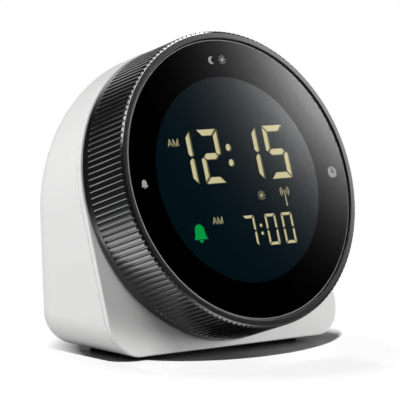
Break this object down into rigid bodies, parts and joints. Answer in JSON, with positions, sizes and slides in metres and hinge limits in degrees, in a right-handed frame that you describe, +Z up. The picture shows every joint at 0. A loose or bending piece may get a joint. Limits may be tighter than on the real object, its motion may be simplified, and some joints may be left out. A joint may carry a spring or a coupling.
{
  "type": "radio alarm clock",
  "caption": "Small desk alarm clock set by a radio time signal, with a tilted round digital display, a turning knurled bezel and a rounded white case that holds its cells.",
  "frame": {"origin": "on the table under the middle of the clock's overall box", "axes": "+Z up, -Y towards the person who reads the display, +X to that person's right"},
  "size_m": [0.0804, 0.0552, 0.0833],
  "materials": {
    "white_plastic": "satin white moulding",
    "black_plastic": "satin black moulding",
    "inner_black_plastic": "plain black moulding",
    "grey_plastic": "satin grey moulding",
    "acetal": "natural moulding",
    "rubber": "soft black",
    "steel": "plated steel",
    "contact_metal": "nickel-plated spring sheet",
    "board": "green board",
    "chip": "moulded black",
    "display_glass": "dark display glass",
    "clear_plastic": "clear moulding",
    "lens_clear": "clear polished",
    "mask_black": "black print",
    "white_sheet": "white sheet",
    "cell_wrap": "plain printed wrap",
    "ferrite": "dark sintered",
    "copper_wire": "enamelled copper",
    "wire_jacket": "soft jacket"
  },
  "bodies": {
    "housing": {"rear_case": "white_plastic", "front_cover": "white_plastic", "rubber_feet": "rubber", "case_screws": "steel", "encoder_body": "inner_black_plastic", "display_drum": "inner_black_plastic", "drum_screws": "steel", "main_board": "board", "board_screws": "steel", "control_chip": "chip", "receiver_chip": "chip", "quartz_crystal": "steel", "lcd_panel": "display_glass", "light_guide": "clear_plastic", "reflector_sheet": "white_sheet", "backlight_leds": "white_sheet", "lcd_frame": "inner_black_plastic", "zebra_strip": "rubber", "snooze_switch": "chip", "alarm_switch": "chip", "time_switch": "chip", "upper_battery": "cell_wrap", "lower_battery": "cell_wrap", "end_contacts": "contact_metal", "bridge_contact": "contact_metal", "receive_switch": "chip", "zone_switch": "chip", "rear_board": "board", "rear_board_screw": "steel", "buzzer": "inner_black_plastic", "antenna_rod": "ferrite", "antenna_coil": "copper_wire", "battery_leads": "wire_jacket", "panel_leads": "wire_jacket", "antenna_leads": "copper_wire"},
    "bezel": {"bezel_ring": "black_plastic", "bezel_gear": "acetal"},
    "encoder": {"encoder_pinion": "acetal", "encoder_shaft": "steel"},
    "gimbal": {"gimbal_ring": "inner_black_plastic"},
    "lens_plate": {"lens": "lens_clear", "mask_film": "mask_black", "lens_holder": "inner_black_plastic"},
    "battery_door": {"battery_door": "white_plastic"},
    "receive_button": {"receive_button": "grey_plastic"},
    "zone_button": {"zone_button": "grey_plastic"}
  },
  "joints": [
    {"name": "bezel_turn", "type": "hinge", "parent": "housing", "child": "bezel", "pos_m": [0, 0.00158, 0.04012], "axis": [0, -0.9426, 0.3338], "continuous": true},
    {"name": "encoder_turn", "type": "hinge", "parent": "housing", "child": "encoder", "pos_m": [0.02702, 0.00679, 0.05482], "axis": [0, -0.9426, 0.3338], "continuous": true},
    {"name": "lens_tip", "type": "hinge", "parent": "housing", "child": "gimbal", "pos_m": [0, -0.01044, 0.04438], "axis": [-1, 0, 0], "range_deg": [0, 1], "stiffness_Nm_per_rad": 0.6, "springref_deg": -1.72},
    {"name": "lens_rock", "type": "hinge", "parent": "gimbal", "child": "lens_plate", "pos_m": [0, -0.01044, 0.04438], "axis": [0, 0.3338, 0.9426], "range_deg": [-1, 1], "stiffness_Nm_per_rad": 0.8},
    {"name": "door_swing", "type": "hinge", "parent": "housing", "child": "battery_door", "pos_m": [0, 0.02246, 0.00905], "axis": [-1, 0, 0], "range_deg": [0, 70]},
    {"name": "receive_press", "type": "slide", "parent": "housing", "child": "receive_button", "axis": [0, -0.9962, 0.0872], "range_m": [0, 0.0006], "stiffness_N_per_m": 800, "springref_m": -0.0005},
    {"name": "zone_press", "type": "slide", "parent": "housing", "child": "zone_button", "axis": [0, -0.9962, 0.0872], "range_m": [0, 0.0006], "stiffness_N_per_m": 800, "springref_m": -0.0005}
  ],
  "couplings": [
    {"joint": "encoder_turn", "follows": "bezel_turn", "ratio": 7.5}
  ]
}
